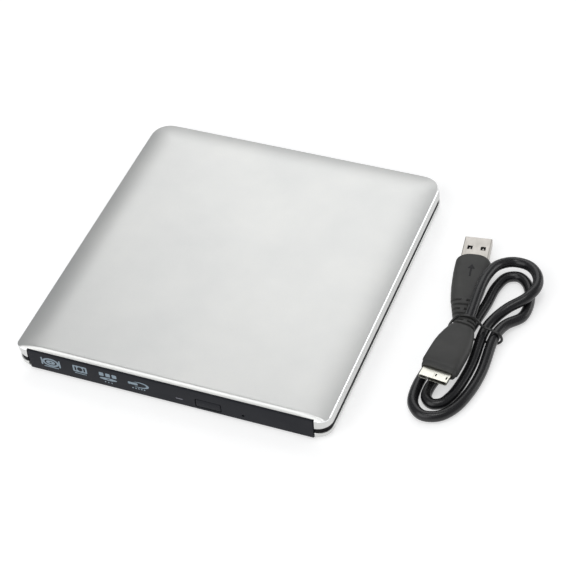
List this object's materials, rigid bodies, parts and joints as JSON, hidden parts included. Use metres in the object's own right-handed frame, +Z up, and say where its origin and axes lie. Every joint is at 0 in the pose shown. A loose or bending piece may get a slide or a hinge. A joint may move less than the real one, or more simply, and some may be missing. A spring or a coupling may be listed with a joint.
{
  "type": "external optical drive",
  "caption": "Slim external disc drive in a satin metal case, with a sliding tray, eject button, spindle and pickup inside, and a short coiled USB cable beside it.",
  "frame": {"origin": "centre of the case's footprint, on the surface its feet stand on", "axes": "+X to the drive's right seen from the bezel, -Y the way the tray opens, +Z up through the top cover"},
  "size_m": [0.1998, 0.15, 0.014],
  "materials": {
    "satin_aluminium": "satin silver",
    "charcoal_plastic": "fine satin charcoal",
    "black_plastic": "matt black",
    "black_rubber": "matt soft black",
    "cord_jacket": "satin black jacket",
    "steel": "plain sheet and turned steel",
    "nickel": "nickel plated",
    "grey_moulding": "dark grey moulding",
    "circuit_board": "green solder mask",
    "coil_copper": "taped copper coil",
    "lens_glass": "coated lens",
    "lamp_plastic": "smoked light pipe",
    "flex_film": "amber film"
  },
  "bodies": {
    "drive": {"top_cover": "satin_aluminium", "bottom_cover": "satin_aluminium", "mid_frame": "black_plastic", "rubber_foot_1": "black_rubber", "rubber_foot_2": "black_rubber", "rubber_foot_3": "black_rubber", "rubber_foot_4": "black_rubber", "case_screw_1": "steel", "case_screw_2": "steel", "case_screw_3": "steel", "case_screw_4": "steel", "bridge_board": "circuit_board", "bridge_chip": "black_plastic", "usb_socket": "nickel", "sata_connector": "black_plastic", "drive_board": "circuit_board", "sata_plug": "black_plastic", "drive_chassis": "steel", "drive_top_plate": "steel", "latch_pin": "steel", "rail_guide_left": "grey_moulding", "rail_guide_right": "grey_moulding", "flex_cable": "flex_film", "usb_cable": "cord_jacket", "cable_tie": "black_rubber", "usb_a_grip": "black_rubber", "usb_a_shell": "nickel", "micro_b_grip": "black_rubber", "micro_b_shell": "nickel"},
    "tray": {"tray": "black_plastic", "tray_bezel": "charcoal_plastic", "tray_bottom_cover": "steel", "tray_board": "circuit_board", "eject_switch": "nickel", "led_light_pipe": "lamp_plastic", "traverse_cover": "black_plastic", "traverse_frame": "grey_moulding", "rubber_damper_1": "black_rubber", "rubber_damper_2": "black_rubber", "rubber_damper_3": "black_rubber", "spindle_motor": "steel", "guide_rod_main": "steel", "guide_rod_sub": "steel", "feed_motor": "steel", "latch_solenoid": "coil_copper", "eject_pusher": "grey_moulding", "eject_spring": "steel"},
    "left_rail": {"slide_rail_left": "steel"},
    "right_rail": {"slide_rail_right": "steel"},
    "button": {"eject_button": "charcoal_plastic"},
    "spindle": {"spindle_hub": "black_plastic"},
    "claw_1": {"disc_claw_1": "grey_moulding"},
    "claw_2": {"disc_claw_2": "grey_moulding"},
    "claw_3": {"disc_claw_3": "grey_moulding"},
    "pickup": {"pickup_sled": "grey_moulding"},
    "lens": {"lens_holder": "black_plastic", "objective_lens": "lens_glass"},
    "screw": {"feed_screw": "steel"},
    "latch": {"latch_lever": "steel"},
    "plunger": {"solenoid_plunger": "steel"}
  },
  "joints": [
    {"name": "tray_slide", "type": "slide", "parent": "drive", "child": "tray", "axis": [0, -1, 0], "range_m": [0, 0.126], "deforming": ["flex_cable"]},
    {"name": "left_rail_slide", "type": "slide", "parent": "drive", "child": "left_rail", "axis": [0, -1, 0], "range_m": [0, 0.063]},
    {"name": "right_rail_slide", "type": "slide", "parent": "drive", "child": "right_rail", "axis": [0, -1, 0], "range_m": [0, 0.063]},
    {"name": "eject_button_press", "type": "slide", "parent": "tray", "child": "button", "axis": [0, 1, 0], "range_m": [0, 0.0007], "stiffness_N_per_m": 400, "springref_m": -0.0005},
    {"name": "spindle_spin", "type": "hinge", "parent": "tray", "child": "spindle", "pos_m": [0, -0.008, 0.009], "axis": [0, 0, 1], "continuous": true},
    {"name": "disc_claw_1_press", "type": "slide", "parent": "spindle", "child": "claw_1", "axis": [-0.2588, 0.9659, 0], "range_m": [0, 0.00045], "stiffness_N_per_m": 400, "springref_m": -0.0003},
    {"name": "disc_claw_2_press", "type": "slide", "parent": "spindle", "child": "claw_2", "axis": [-0.7071, -0.7071, 0], "range_m": [0, 0.00045], "stiffness_N_per_m": 400, "springref_m": -0.0003},
    {"name": "disc_claw_3_press", "type": "slide", "parent": "spindle", "child": "claw_3", "axis": [0.9659, -0.2588, 0], "range_m": [0, 0.00045], "stiffness_N_per_m": 400, "springref_m": -0.0003},
    {"name": "pickup_feed", "type": "slide", "parent": "tray", "child": "pickup", "axis": [-0.7071, -0.7071, 0], "range_m": [0, 0.0325]},
    {"name": "lens_focus", "type": "slide", "parent": "pickup", "child": "lens", "axis": [0, 0, 1], "range_m": [-0.0003, 0.0003], "stiffness_N_per_m": 60},
    {"name": "feed_screw_spin", "type": "hinge", "parent": "tray", "child": "screw", "pos_m": [-0.02418, -0.0138, 0.006], "axis": [-0.7071, -0.7071, 0], "range_deg": [0, 3960]},
    {"name": "latch_engage", "type": "hinge", "parent": "tray", "child": "latch", "pos_m": [-0.027, 0.036, 0.0052], "axis": [0, 0, 1], "range_deg": [0, 12]},
    {"name": "plunger_pull", "type": "slide", "parent": "tray", "child": "plunger", "axis": [-1, 0, 0], "range_m": [0, 0.00125], "stiffness_N_per_m": 60, "springref_m": -0.002}
  ],
  "couplings": [
    {"joint": "left_rail_slide", "follows": "tray_slide", "ratio": 0.5},
    {"joint": "right_rail_slide", "follows": "tray_slide", "ratio": 0.5},
    {"joint": "feed_screw_spin", "follows": "pickup_feed", "rad_per_m": 2094.4},
    {"joint": "latch_engage", "follows": "plunger_pull", "rad_per_m": 166.67}
  ]
}
